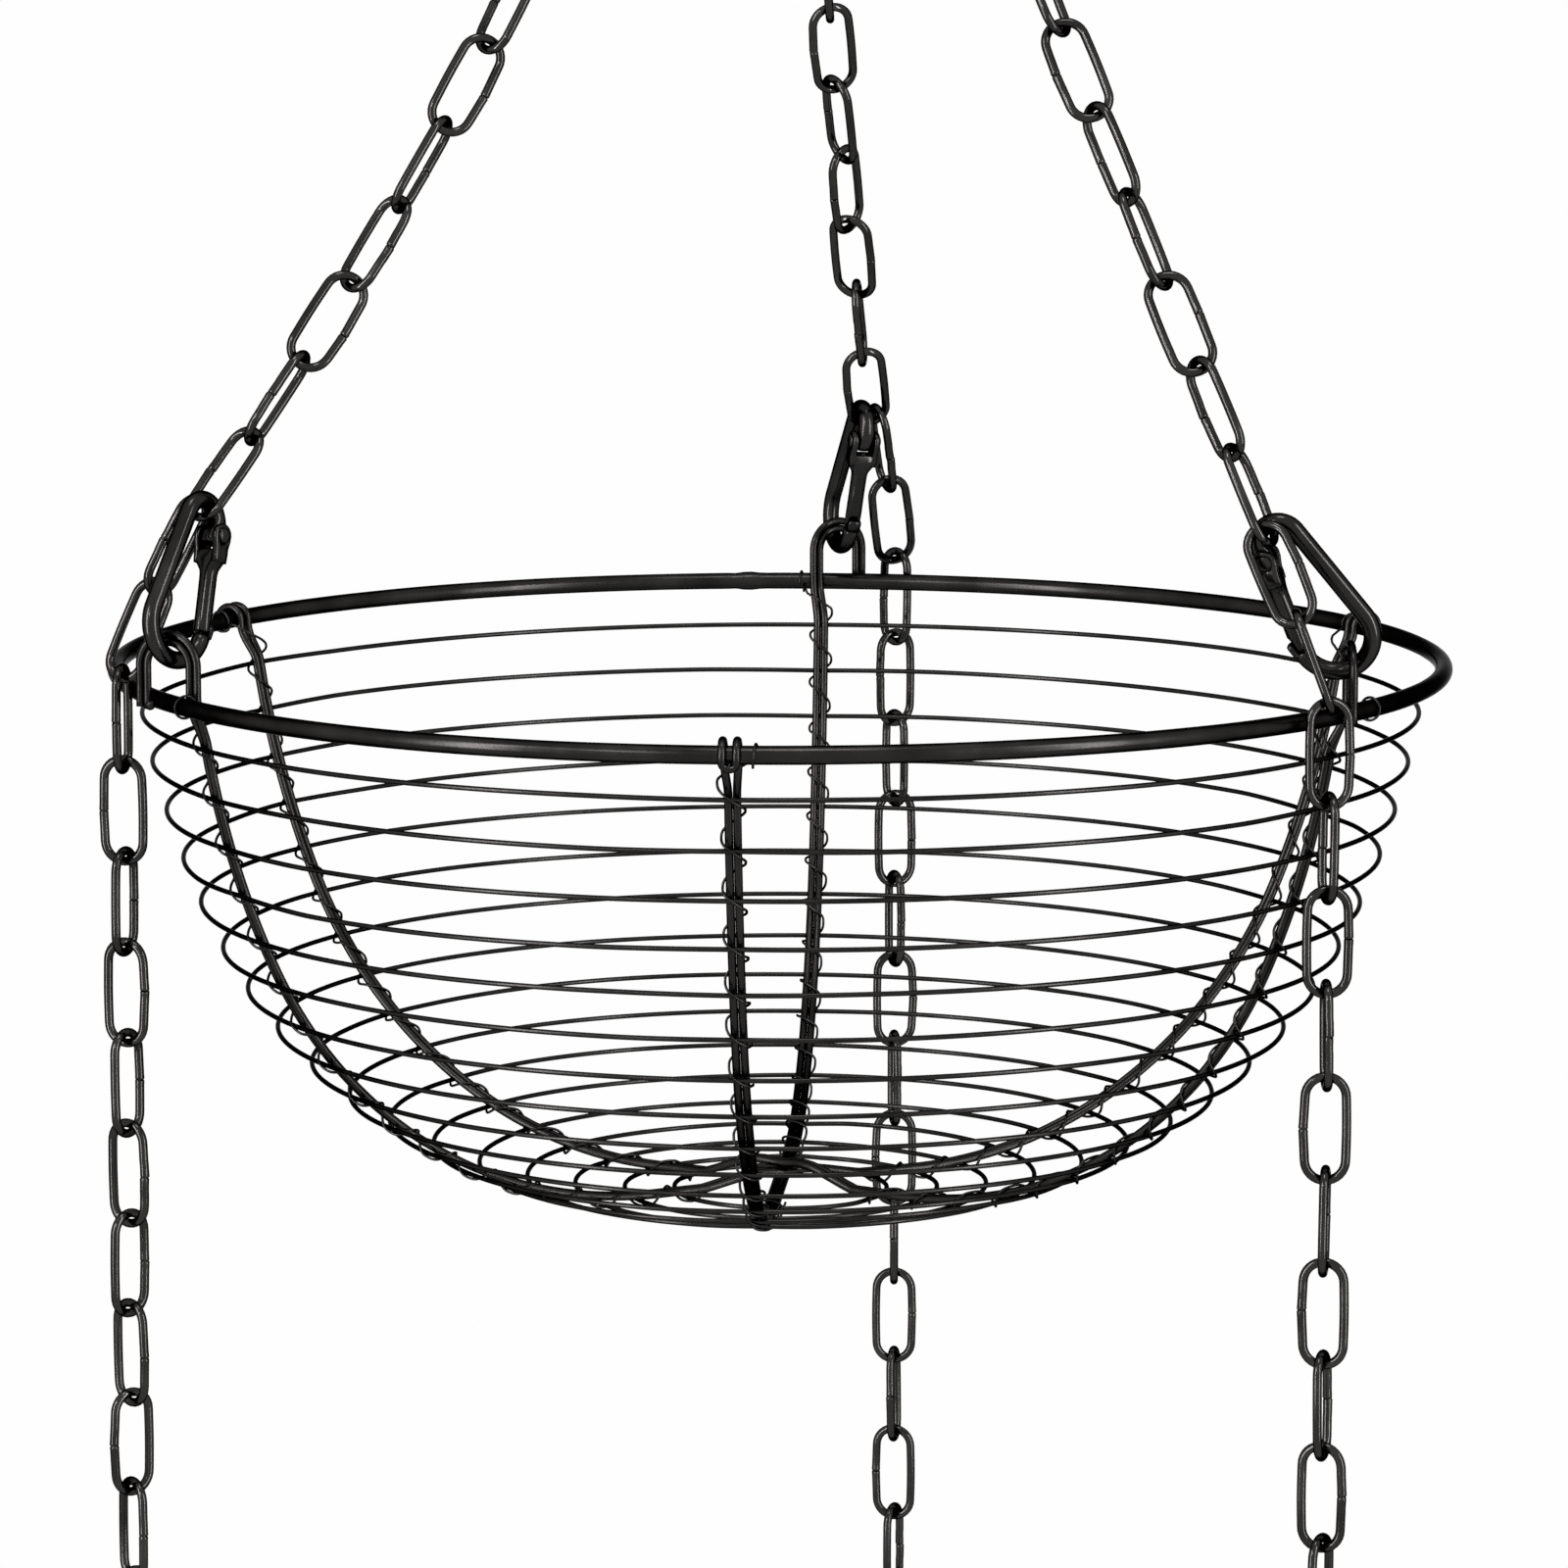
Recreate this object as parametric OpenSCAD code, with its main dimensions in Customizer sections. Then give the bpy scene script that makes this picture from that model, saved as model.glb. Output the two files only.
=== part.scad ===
// Hanging fruit basket: a round bowl of welded and bound wire, hung on three chains from one ring.
// Three more chains fall from the same points past the bowl, to carry the next bowl down.
// Millimetres, Z up. The origin is where the screw of the ceiling hook enters the ceiling.
// The left, right and back chains are numbers 0, 1 and 2 in every list below.

/* [Bowl] */
// Outside diameter of the rim
rim_d = 300; // [250:1:360]
// Thickness of the rim wire
rim_wire = 4; // [3.4:0.1:4.6]
// Depth from the middle of the rim wire to the hoops under the flat bottom
bowl_depth = 120.1; // [100:0.1:145]
// Radius of the side of the bowl, seen in section
side_r = 198.3; // [180:0.1:240]
// Radius of the heel between the side and the flat bottom
heel_r = 104.5; // [88:0.5:110]
// How far inside the rim wire the hoops would meet the height of the rim
side_inset = 4; // [3.8:0.1:5]
// Thickness of a hoop
hoop_wire = 1.1; // [0.9:0.05:1.4]
// Number of hoops
hoop_count = 17; // [12:1:17]
// Depth of the highest hoop below the middle of the rim wire
first_hoop_depth = 10; // [9:0.5:12]
// Radius of the smallest hoop
last_hoop_r = 24; // [22:0.5:30]

/* [Cross rods] */
// Thickness of the wire that each double rod is bent from
rod_wire = 1.75; // [1.5:0.05:1.9]
// Space between the two wires of a rod
rod_split = 0.05; // [0.05:0.01:0.2]
// Directions of the ribs: each rod runs from its eye or front end to its hairpin end
rod_azimuth = [[0, 180], [-57, 118], [60, -116]];
// Width inside an eye
eye_w = 8.65; // [8:0.05:9.5]
// Height of the round top of an eye inside, above the middle of the rim wire
eye_h = 12.225; // [11.5:0.005:13]
// Turn of an eye away from the run of the rim
eye_turn = 36; // [30:1:42]
// Shift of an eye to the right of its rib, seen from inside the bowl
eye_shift = 3.6; // [3:0.1:4.2]
// Radius of a hairpin, to the middle of the wire
hairpin_r = 2.7; // [2.4:0.1:3]

/* [Binding wire] */
// Thickness of the wire that binds the rods to the hoops
bind_wire = 0.6; // [0.5:0.05:0.7]

/* [Chains] */
// Thickness of the wire of a chain link
link_wire = 2; // [1.7:0.05:2.3]
// Outside width of a link
link_w = 10.7; // [10.4:0.1:12]
// Length that each link adds to a chain
link_pitch = 20; // [16.5:0.1:24]
// Links in each of the three chains above the bowl
upper_links = 14; // [10:1:20]
// Links in each of the three chains below the rim
lower_links = 13; // [8:1:15]
// Slack of the upper chains
chain_slack = 0.45; // [0.3:0.05:1.5]

/* [Snap hooks] */
// Thickness of the wire of a snap hook
hook_wire = 4; // [3.6:0.1:4.2]
// Radius of the wide end, to the middle of the wire
hook_wide_r = 8; // [7.5:0.1:9.5]
// Radius of the narrow end, to the middle of the wire
hook_narrow_r = 4.5; // [4.2:0.1:4.8]
// Distance between the middles of the two round ends
hook_reach = 23.5; // [20:0.5:28]
// Thickness of the rivet that a gate turns on
rivet_d = 2; // [1.6:0.1:2.2]
// Play of the gate on its rivet, from wall to wall on one side
rivet_play = 0.05; // [0.02:0.01:0.1]

/* [Ring and ceiling hook] */
// Thickness of the wire of the top ring
ring_wire = 4; // [3.5:0.1:4.4]
// Inside diameter of the top ring
ring_in_d = 25; // [24:0.5:34]
// Thickness of the wire of the ceiling hook
ceiling_wire = 4; // [3.5:0.1:5]
// Inside radius of the ceiling hook
ceiling_in_r = 8; // [7:0.5:12]
// Length of the screw in the ceiling
screw_l = 25; // [18:1:40]

/* [Hidden] */
$fn = 48;
side_name = ["left", "right", "back"];
rod_name = ["low", "middle", "high"];
hoop_name = [for (i = [1 : hoop_count]) str("hoop_", i < 10 ? "0" : "", i)];
bind_name = [for (i = [1 : 6]) str("binding_wire_", i)];
function sided(name) = [for (s = side_name) str(name, "_", s)];

black = [0.07, 0.07, 0.075];
chain_black = [0.13, 0.13, 0.135];
up = [0, 0, 1];

// Clear space between pieces that hang in each other
seat_gap = 0.3;
// Clear space between a rod and the wires that it lies against
lay_gap = 0.2;

// Vectors and frames

function unit(v) = v / norm(v);
function outward(az) = [sin(az), -cos(az), 0];
// To the right, for someone inside the bowl who looks at the rib
function rightward(az) = [-cos(az), -sin(az), 0];
function spot_at(az, u, r, z) = outward(az) * r + rightward(az) * u + up * z;
// Turns v about d
function turned(v, d, a) = unit(v * cos(a) + cross(d, v) * sin(a));
function square_to(v, d) = unit(v - (v * d) * d);
// The sideways direction of a link that hangs along d, turned by a from facing the front
function link_side(d, a) =
  let (l = cross(d, square_to([0, -1, 0], d)))
  turned(unit(l[0] < 0 ? -l : l), d, a);
// A frame with its origin at o, its Z along z and its X along x
function frame(o, z, x) =
  let (y = cross(z, x))
  [[x[0], y[0], z[0], o[0]], [x[1], y[1], z[1], o[1]], [x[2], y[2], z[2], o[2]], [0, 0, 0, 1]];
function bezier(a, b, c, d, t) =
  a * pow(1 - t, 3) + b * 3 * t * pow(1 - t, 2) + c * 3 * t * t * (1 - t) + d * pow(t, 3);

// A round wire along a list of points, as one closed skin of triangles
module wire(p, d, sides) {
  n = len(p);
  along = [for (i = [0 : n - 1]) unit(p[min(i + 1, n - 1)] - p[max(i - 1, 0)])];
  first = square_to(abs(along[0][2]) < 0.9 ? up : [1, 0, 0], along[0]);
  side = [for (i = 0, s = first; i < n; i = i + 1, s = i < n ? square_to(s, along[i]) : s) s];
  ring = [for (i = [0 : n - 1], k = [0 : sides - 1])
    let (a = 360 * k / sides)
    p[i] + (side[i] * cos(a) + cross(along[i], side[i]) * sin(a)) * d / 2];
  last = (n - 1) * sides;
  walls = [for (i = [0 : n - 2], k = [0 : sides - 1], h = [0, 1])
    let (a = i * sides + k, b = i * sides + (k + 1) % sides)
    h == 0 ? [a, a + sides, b] : [b, a + sides, b + sides]];
  ends = [for (k = [1 : sides - 2], h = [0, 1]) h == 0 ? [0, k, k + 1] : [last, last + k + 1, last + k]];
  polyhedron(points = ring, faces = concat(walls, ends));
}

// The bowl in section: s runs down along the hoops from the highest one

rim_r = (rim_d - rim_wire) / 2;
heel_angle = 24.85;
side_centre_z = heel_r - bowl_depth + (side_r - heel_r) * sin(heel_angle);
side_centre_r = rim_r - side_inset - sqrt(side_r * side_r - side_centre_z * side_centre_z);
flat_r = side_centre_r + (side_r - heel_r) * cos(heel_angle);
first_angle = asin((side_centre_z + first_hoop_depth) / side_r);
side_s = side_r * (heel_angle - first_angle) * PI / 180;
heel_end_angle = last_hoop_r < flat_r ? 90 : acos((last_hoop_r - flat_r) / heel_r);
hoop_s = side_s + heel_r * (heel_end_angle - heel_angle) * PI / 180 + max(0, flat_r - last_hoop_r);
hoop_pitch = hoop_s / (hoop_count - 1);
function slope(s) = min(90, s < side_s
  ? first_angle + s / side_r * 180 / PI
  : heel_angle + (s - side_s) / heel_r * 180 / PI);
function past_heel(s) = max(0, s - side_s - heel_r * (90 - heel_angle) * PI / 180);
// Radius and height of the section at s, moved out along its normal by off
function section(s, off = 0) =
  let (a = slope(s), r = s < side_s ? side_r : heel_r)
  [(s < side_s ? side_centre_r : flat_r) + (r + off) * cos(a) - past_heel(s),
   (s < side_s ? side_centre_z : heel_r - bowl_depth) - (r + off) * sin(a)];
function downhill(s) = [-sin(slope(s)), -cos(slope(s))];

rod_off = -(hoop_wire / 2 + lay_gap + rod_wire / 2);
rod_half = (rod_wire + rod_split) / 2;

// How the chains hang: where each wire bears on the next

link_bend_r = (link_w - link_wire) / 2;
link_top = (link_pitch + seat_gap + link_wire) / 2;
link_straight = link_top - link_bend_r;
ring_r = (ring_in_d + ring_wire) / 2;
ceiling_r = ceiling_in_r + ceiling_wire / 2;
collar_h = 12.65;
ceiling_hook_z = -collar_h - 2 * ceiling_r;
ring_z = ceiling_hook_z + (ceiling_wire + ring_wire) / 2 + seat_gap - ring_r;

// Ribs that carry the eyes, and the lean of what hangs there: left, right, back
eye_azimuth = [rod_azimuth[1][0], rod_azimuth[2][0], rod_azimuth[0][1]];
ring_place = [-4.2, 4.2, 0];
hang_in = [12.2, 12.5, 10.2];
hang_side = [13.8, 17.3, 11.9];
hang_roll = [46, -70, -15.5];
hook_turn = [-24.8, -24.4, -24.2];
lead_hand = [-1, -1, 1];
lead_out = [4.6, 5, 5.1];
lead_side = [17.9, 20.9, 17.5];
lead_roll = [-8, -10, -9.6];
lead_roll_2 = [85, 77, 93];
run_roll = [-83, -21, 47.5];
upper_roll_step = [-120, 120, 107];
run_roll_step = 95;
lead_bow = 0.8;

eye_in_r = eye_w / 2;
eye_centre_z = eye_h - eye_in_r;
eye_top_z = eye_h + rod_wire / 2;
hook_bear = [hook_wide_r - hook_narrow_r, -(hook_reach + hook_wide_r + hook_narrow_r)];
hook_bear_l = norm(hook_bear);
hook_hang_l = hook_bear_l - (rod_wire + hook_wire) / 2 - seat_gap;
// Where the hook and the lead link lie side by side in the bend of the shared link
hook_in_link = 1.15;
lead_in_link = 2.1;
bend_gap = 0.15;
function in_bend(d, off) = sqrt(max(0, pow(link_bend_r - link_wire / 2 - d / 2 - bend_gap, 2) - off * off));
hook_low = in_bend(hook_wire, hook_in_link);
lead_low = in_bend(link_wire, lead_in_link);

// Place in the ring where an upper chain starts
function ring_seat(i) = [ring_place[i], 0, ring_z - sqrt(ring_r * ring_r - ring_place[i] * ring_place[i])];
function hang_height(i) = eye_top_z
  + sqrt(pow(hook_hang_l, 2) - pow(hang_in[i], 2) - pow(hang_side[i] - eye_shift, 2)) - hook_lean_drop;
function hang_flat(i) = spot_at(eye_azimuth[i], hang_side[i], rim_r - hang_in[i], 0);
chain_l = upper_links * link_pitch - chain_slack;
// First guess at how far the hook's lean lowers its top, and at the lean of a chain at the ring
hook_lean_drop = 2.3;
ring_lean_cos = 0.88;
seat_rise = (ring_wire + link_wire) / 2 + seat_gap - (link_top - link_pitch / 2);
chain_drop = min([for (i = [0 : 2])
  let (flat = hang_flat(i) - [ring_place[i], 0, 0], reach = norm(flat) + seat_rise * norm(flat) / chain_l)
  sqrt(chain_l * chain_l - reach * reach) + hang_height(i)]);
rim_z = ring_z - ring_r + seat_rise * ring_lean_cos - chain_drop;

// The two ends of an upper chain, its straight line and the bend of its sag
function chain_start(i, end) = ring_seat(i) - seat_rise * unit(end - ring_seat(i));
function sag_step(c) = sqrt(24 * max(0.00001, 1 - c / (upper_links * link_pitch)) / (pow(upper_links, 2) - 1))
  * 180 / PI;
function chain_dir(a, b, k) =
  let (c = unit(b - a), sag = sag_step(norm(b - a)) * (k - (upper_links - 1) / 2))
  c * cos(sag) + square_to(up, c) * sin(sag);
// The point where the shared link bears, found in three steps
function bear_point(i) = spot_at(eye_azimuth[i], eye_shift, rim_r, rim_z + eye_top_z);
function hook_top(i, p) =
  let (d = chain_dir(chain_start(i, p), p, upper_links - 1), t = link_side(d, hang_roll[i]))
  p - (link_pitch / 2 - link_straight - hook_low) * d - lead_hand[i] * hook_in_link * t;
function settle(i, p, n) = n == 0 ? p
  : let (h = hook_top(i, p), b = bear_point(i), flat = norm([h[0] - b[0], h[1] - b[1]]))
    settle(i, p + up * (b[2] + sqrt(hook_hang_l * hook_hang_l - flat * flat) - h[2]), n - 1);
hang_point = [for (i = [0 : 2]) settle(i, hang_flat(i) + up * (rim_z + hang_height(i)), 3)];
start_point = [for (i = [0 : 2]) chain_start(i, hang_point[i])];
shared_dir = [for (i = [0 : 2]) chain_dir(start_point[i], hang_point[i], upper_links - 1)];
shared_side = [for (i = [0 : 2]) link_side(shared_dir[i], hang_roll[i])];
hook_point = [for (i = [0 : 2]) hook_top(i, hang_point[i])];
hook_dir = [for (i = [0 : 2]) unit(bear_point(i) - hook_point[i])];
hook_face = [for (i = [0 : 2])
  turned(square_to(-outward(eye_azimuth[i]), hook_dir[i]), hook_dir[i], hook_turn[i])];

// Chain below: two lead links pass over the rim, then the run hangs straight
lead_start = [for (i = [0 : 2]) hang_point[i]
  - (link_pitch / 2 - link_straight - lead_low) * shared_dir[i]
  + lead_hand[i] * lead_in_link * shared_side[i]];
lead_l = 2 * link_pitch + link_top - link_pitch / 2;
knee_target = [for (i = [0 : 2])
  let (flat = spot_at(eye_azimuth[i], lead_side[i], rim_r + lead_out[i], 0),
    span = norm([flat[0] - lead_start[i][0], flat[1] - lead_start[i][1]]))
  flat + up * (lead_start[i][2] - sqrt(lead_l * lead_l - span * span))];
lead_mid = [for (i = [0 : 2])
  let (g = unit(knee_target[i] - lead_start[i]), bow = unit(cross(cross(g, up), g)))
  (lead_start[i] + knee_target[i]) / 2 + g * (link_top - link_pitch / 2) / 2 + bow * lead_bow];
lead_dir = [for (i = [0 : 2]) unit(lead_mid[i] - lead_start[i])];
lead_joint = [for (i = [0 : 2]) lead_start[i] + lead_dir[i] * (link_top + link_pitch / 2)];
lead_dir_2 = [for (i = [0 : 2]) unit(knee_target[i] - lead_joint[i])];
knee = [for (i = [0 : 2]) lead_joint[i] + lead_dir_2[i] * link_pitch];
lead_face = [for (i = [0 : 2]) turned(unit(cross(lead_dir[i], shared_side[i])), lead_dir[i], lead_roll[i])];
lead_face_2 = [for (i = [0 : 2])
  turned(square_to(lead_face[i], lead_dir_2[i]), lead_dir_2[i], lead_roll_2[i])];
last_side = [for (i = [0 : 2]) link_side(-up, run_roll[i] + run_roll_step * (lower_links - 1))];
low_hook_point = [for (i = [0 : 2]) knee[i]
  - up * (lower_links * link_pitch + link_top - link_pitch / 2 - (hook_wire + link_wire) / 2 - seat_gap)];

// One chain link: it hangs along Z, and its width lies along X
module link() {
  union() for (s = [-1, 1]) {
    translate([s * link_bend_r, 0, -link_straight]) cylinder(d = link_wire, h = 2 * link_straight);
    translate([0, 0, s * link_straight]) rotate([90, 0, 0]) rotate([0, 0, s < 0 ? 180 : 0])
      rotate_extrude(angle = 180) translate([link_bend_r, 0]) circle(d = link_wire);
  }
}

module link_at(middle, dir, side) {
  multmatrix(frame(middle, dir, side)) link();
}

// Turn of the link that is k above the shared one; the last few links turn to suit the ring
function upper_roll(i, k) =
  let (held = 7, first = chain_dir(start_point[i], hang_point[i], 0),
    wire_dir = unit([sqrt(ring_r * ring_r - pow(ring_place[i], 2)), 0, ring_place[i]]),
    want = square_to(cross(first, wire_dir), first), zero = link_side(first, 0),
    want_roll = atan2(want * cross(first, zero), want * zero),
    miss = hang_roll[i] + upper_roll_step[i] * (upper_links - 1) - want_roll,
    back = sign(upper_roll_step[i]) * (((sign(upper_roll_step[i]) * miss) % 180 + 180) % 180))
  hang_roll[i] + upper_roll_step[i] * k - back * max(0, k - held) / (upper_links - 1 - held);

module upper_chain(i) {
  d = [for (k = [0 : upper_links - 1]) chain_dir(start_point[i], hang_point[i], k)];
  step = norm(hang_point[i] - start_point[i]) / norm([for (c = d) 1] * d);
  color(chain_black) for (k = [0 : upper_links - 1]) {
    above = k == 0 ? [0, 0, 0] : [for (j = [0 : k - 1]) 1] * [for (j = [0 : k - 1]) d[j]];
    link_at(start_point[i] + step * (above + d[k] / 2), d[k],
      link_side(d[k], upper_roll(i, upper_links - 1 - k)));
  }
}

module lead_links(i) {
  color(chain_black) {
    link_at(lead_start[i] + lead_dir[i] * link_top, lead_dir[i], lead_face[i]);
    link_at(lead_joint[i] + lead_dir_2[i] * link_pitch / 2, lead_dir_2[i], lead_face_2[i]);
  }
}

module lower_chain(i) {
  color(chain_black) for (k = [0 : lower_links - 1])
    link_at(knee[i] - up * link_pitch * (k + 0.5), -up, link_side(-up, run_roll[i] + run_roll_step * k));
}

// Snap hook, drawn standing: narrow end up, back at x = 0, gate towards +X

pivot_drop = 1.3;
pivot = [2 * hook_narrow_r, hook_reach - pivot_drop];
hook_tail_l = 2;
hook_end_z = pivot[1] - hook_tail_l;
nose_h = 1.2;
lip_h = 3;
lip_gap = 0.2;
nose_gap = 0.3;
gate_angle = atan((2 * hook_wide_r - pivot[0]) / (pivot[1] - nose_h));
gate_l = norm([2 * hook_wide_r - pivot[0] - hook_wire / 2, pivot[1] - nose_h]) - nose_gap;
ear_t = 1.3;
ear_gap = 0.1;
ear_in = hook_wire / 2 + ear_gap;
ear_r = 2.6;
yoke_top = norm([hook_wire / 2, hook_tail_l]) + nose_gap;
yoke_t = 3;
rivet_head_t = 0.5;
rivet_head_d = 3.4;
spring_d = 1.4;
spring_l = 4.1;
pocket_d = 1.8;
pocket_end_gap = 0.2;

// Lean of a free hook that brings its weight below the link
low_tilt = 1.9;

// Places a snap hook by the middle of its narrow bend, where the link above bears
module on_link(point, dir, face) {
  l = hook_bear / hook_bear_l;
  x = l[0] * dir - l[1] * face;
  z = l[1] * dir + l[0] * face;
  multmatrix(frame(point - x * hook_narrow_r - z * (hook_reach + hook_narrow_r), z, x)) children();
}

module hook_body() {
  difference() {
    union() {
      cylinder(d = hook_wire, h = hook_reach);
      translate([hook_narrow_r, 0, hook_reach]) rotate([90, 0, 0])
        rotate_extrude(angle = 180) translate([hook_narrow_r, 0]) circle(d = hook_wire);
      translate([hook_wide_r, 0, 0]) rotate([90, 0, 0]) rotate([0, 0, 180])
        rotate_extrude(angle = 180) translate([hook_wide_r, 0]) circle(d = hook_wire);
      translate([pivot[0], 0, hook_end_z]) cylinder(d = hook_wire, h = hook_reach - hook_end_z);
      translate([2 * hook_wide_r, 0, 0]) cylinder(d = hook_wire, h = nose_h + lip_h);
    }
    translate([pivot[0], 0, pivot[1]]) rotate([90, 0, 0])
      cylinder(d = rivet_d, h = hook_wire + 2, center = true);
    translate([2 * hook_wide_r - hook_wire, -hook_wire, nose_h]) cube([hook_wire, 2 * hook_wire, lip_h + 1]);
  }
}

module rivet() {
  half = ear_in + ear_t + ear_gap;
  translate([pivot[0], 0, pivot[1]]) rotate([90, 0, 0]) {
    cylinder(d = rivet_d, h = 2 * half, center = true);
    for (s = [-1, 1]) translate([0, 0, s * (half + rivet_head_t / 2)])
      cylinder(d = rivet_head_d, h = rivet_head_t, center = true);
  }
}

// The gate in its own place: Z runs from the pivot along the gate
module gate_shape() {
  difference() {
    union() {
      for (s = [-1, 1]) {
        translate([0, s * (ear_in + ear_t / 2), 0]) {
          rotate([90, 0, 0]) cylinder(r = ear_r, h = ear_t, center = true);
          translate([-hook_wire / 2, -ear_t / 2, 0]) cube([hook_wire, ear_t, yoke_top + yoke_t]);
        }
      }
      translate([-hook_wire / 2, -ear_in - ear_t / 2, yoke_top])
        cube([hook_wire, 2 * ear_in + ear_t, yoke_t]);
      translate([0, 0, yoke_top + yoke_t / 2]) cylinder(d = hook_wire, h = gate_l - yoke_top - yoke_t / 2);
    }
    rotate([90, 0, 0]) cylinder(d = rivet_d + 2 * rivet_play, h = 4 * ear_in, center = true);
    translate([0, 0, yoke_top - 1]) cylinder(d = pocket_d, h = 1 + spring_l + pocket_end_gap);
  }
}

module gate() {
  difference() {
    translate([pivot[0], 0, pivot[1]]) rotate([0, 180 - gate_angle, 0]) mirror([1, 0, 0]) gate_shape();
    translate([2 * hook_wide_r - lip_gap, -hook_wire, nose_h - 1])
      cube([hook_wire, 2 * hook_wire, lip_h + 1 + 2 * lip_gap]);
  }
}

module gate_spring() {
  translate([pivot[0], 0, pivot[1]]) rotate([0, 180 - gate_angle, 0])
    translate([0, 0, yoke_top]) cylinder(d = spring_d, h = spring_l);
}

module on_upper(i) {
  on_link(hook_point[i], hook_dir[i], hook_face[i]) children();
}

// A lower hook hangs from the last link with its weight below the link
module on_lower(i) {
  face = cross(up, last_side[i]);
  dir = unit(-up * cos(low_tilt) - face * sin(low_tilt));
  on_link(low_hook_point[i], dir, square_to(face, dir)) children();
}

module snap_hook(i) {
  color(black) on_upper(i) hook_body();
}

module upper_gate(i) {
  color(black) on_upper(i) gate();
}

module upper_spring(i) {
  color("gray") on_upper(i) gate_spring();
}

module gate_rivets() {
  color(black) for (i = [0 : 2]) on_upper(i) rivet();
}

module lower_hook(i) {
  color(black) on_lower(i) hook_body();
}

module lower_gate(i) {
  color(black) on_lower(i) gate();
}

module lower_rivet(i) {
  color(black) on_lower(i) rivet();
}

module lower_spring(i) {
  color("gray") on_lower(i) gate_spring();
}

// Bowl

module rim() {
  color(black) translate([0, 0, rim_z]) rotate_extrude() translate([rim_r, 0]) circle(d = rim_wire);
}

module hoop(i) {
  p = section((i - 1) * hoop_pitch);
  color(black) translate([0, 0, rim_z + p[1]]) rotate_extrude() translate([p[0], 0]) circle(d = hoop_wire);
}

// Cross rods: each is one wire, bent back over the rim in a hairpin at one end.
// At its other end the two wires rise past the rim, arch over side by side as an eye and end outside it.

eye_step = 20;
wrap_r = (rim_wire + rod_wire) / 2 + lay_gap;
wrap_end = -20;
foot_h = 1.5;
eye_end_z = -1.2;
// How far a rod runs on along the bowl, and how far it rises straight, at the two ends of its neck
neck_low = 3.5;
neck_high = 4.5;
// Points u, r, z on one rib become places
function on_rib(az, p) = [for (q = p) spot_at(az, q[0], q[1], q[2])];
function rib_line(az, u, from, to) = [for (k = [from : from < to ? 1 : -1 : to])
  let (q = section(k * hoop_pitch, rod_off)) spot_at(az, u, q[0], q[1])];
function neck(u, top) =
  let (q = section(0, rod_off), d = downhill(0), low = [u, q[0], q[1]])
  [for (t = [0.2 : 0.2 : 1]) bezier(low, low - [0, d[0], d[1]] * neck_low, top - up * neck_high, top, t)];
// One arch of an eye, from its end outside the rim to its foot inside it
function arch(r) =
  let (e = [cos(eye_turn), sin(eye_turn), 0], c = [eye_shift, rim_r, 0])
  concat(
    [for (z = [eye_end_z, eye_centre_z / 2]) c + e * r + up * z],
    [for (a = [0 : eye_step : 180]) c + e * r * cos(a) + up * (eye_centre_z + r * sin(a))]);
function inner_foot(r) = [eye_shift - r * cos(eye_turn), rim_r - r * sin(eye_turn), foot_h];
function reversed(p) = [for (i = [len(p) - 1 : -1 : 0]) p[i]];
// Over the rim and down outside it, then half of the hairpin
function wrap(u) = [for (a = [180 : -eye_step : wrap_end]) [u, rim_r + wrap_r * cos(a), wrap_r * sin(a)]];
hairpin = [for (b = [eye_step : eye_step : 180 - eye_step])
  let (r = hairpin_r * sin(b))
  [hairpin_r * cos(b),
   rim_r + wrap_r * cos(wrap_end) + r * sin(wrap_end),
   wrap_r * sin(wrap_end) - r * cos(wrap_end)]];
function hairpin_end(az) = on_rib(az, concat(
  neck(rod_half, [hairpin_r, rim_r - wrap_r, 0]), [for (i = [1 : 10]) wrap(hairpin_r)[i]],
  hairpin,
  reversed(concat(
    neck(-rod_half, [-hairpin_r, rim_r - wrap_r, 0]), [for (i = [1 : 10]) wrap(-hairpin_r)[i]]))));

cross_rise = rod_wire + seat_gap;
// How far inside the smallest hoop a rod starts to rise
cross_in = 4;
// Over the middle of the bottom, at one of three heights
function crossing(az, side, level) =
  let (z = section(hoop_s, rod_off)[1], far = last_hoop_r - cross_in)
  [spot_at(az[0], side * rod_half, far, z),
   spot_at(az[0], side * rod_half, far / 2.5, z + level * cross_rise),
   spot_at(az[0], side * rod_half, 0, z + level * cross_rise),
   spot_at(az[1], -side * rod_half, far / 2.5, z + level * cross_rise),
   spot_at(az[1], -side * rod_half, far, z)];

// az holds the direction of the eye first and of the hairpin second
function rod_path(az, level) =
  let (inner = eye_in_r + rod_wire / 2, outer = inner + 2 * rod_half)
  concat(
    on_rib(az[0], concat(arch(inner), reversed(neck(rod_half, inner_foot(inner))))),
    rib_line(az[0], rod_half, 0, hoop_count - 1),
    crossing(az, 1, level),
    rib_line(az[1], -rod_half, hoop_count - 1, 0),
    reversed(hairpin_end(az[1])),
    rib_line(az[1], rod_half, 0, hoop_count - 1),
    reversed(crossing(az, -1, level)),
    rib_line(az[0], -rod_half, hoop_count - 1, 0),
    on_rib(az[0], concat(neck(-rod_half, inner_foot(outer)), reversed(arch(outer)))));

rod_ends = [[rod_azimuth[0][1], rod_azimuth[0][0]], rod_azimuth[1], rod_azimuth[2]];

module cross_rod(i) {
  color(black) translate([0, 0, rim_z]) wire(rod_path(rod_ends[i], i), rod_wire, 8);
}

// Binding wires: each takes one turn round the rim, then winds down a rib with one turn to each hoop

bind_azimuth = [for (r = rod_azimuth) each r];
hairpin_azimuth = [for (r = rod_ends) r[1]];
bind_step = 45;
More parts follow.
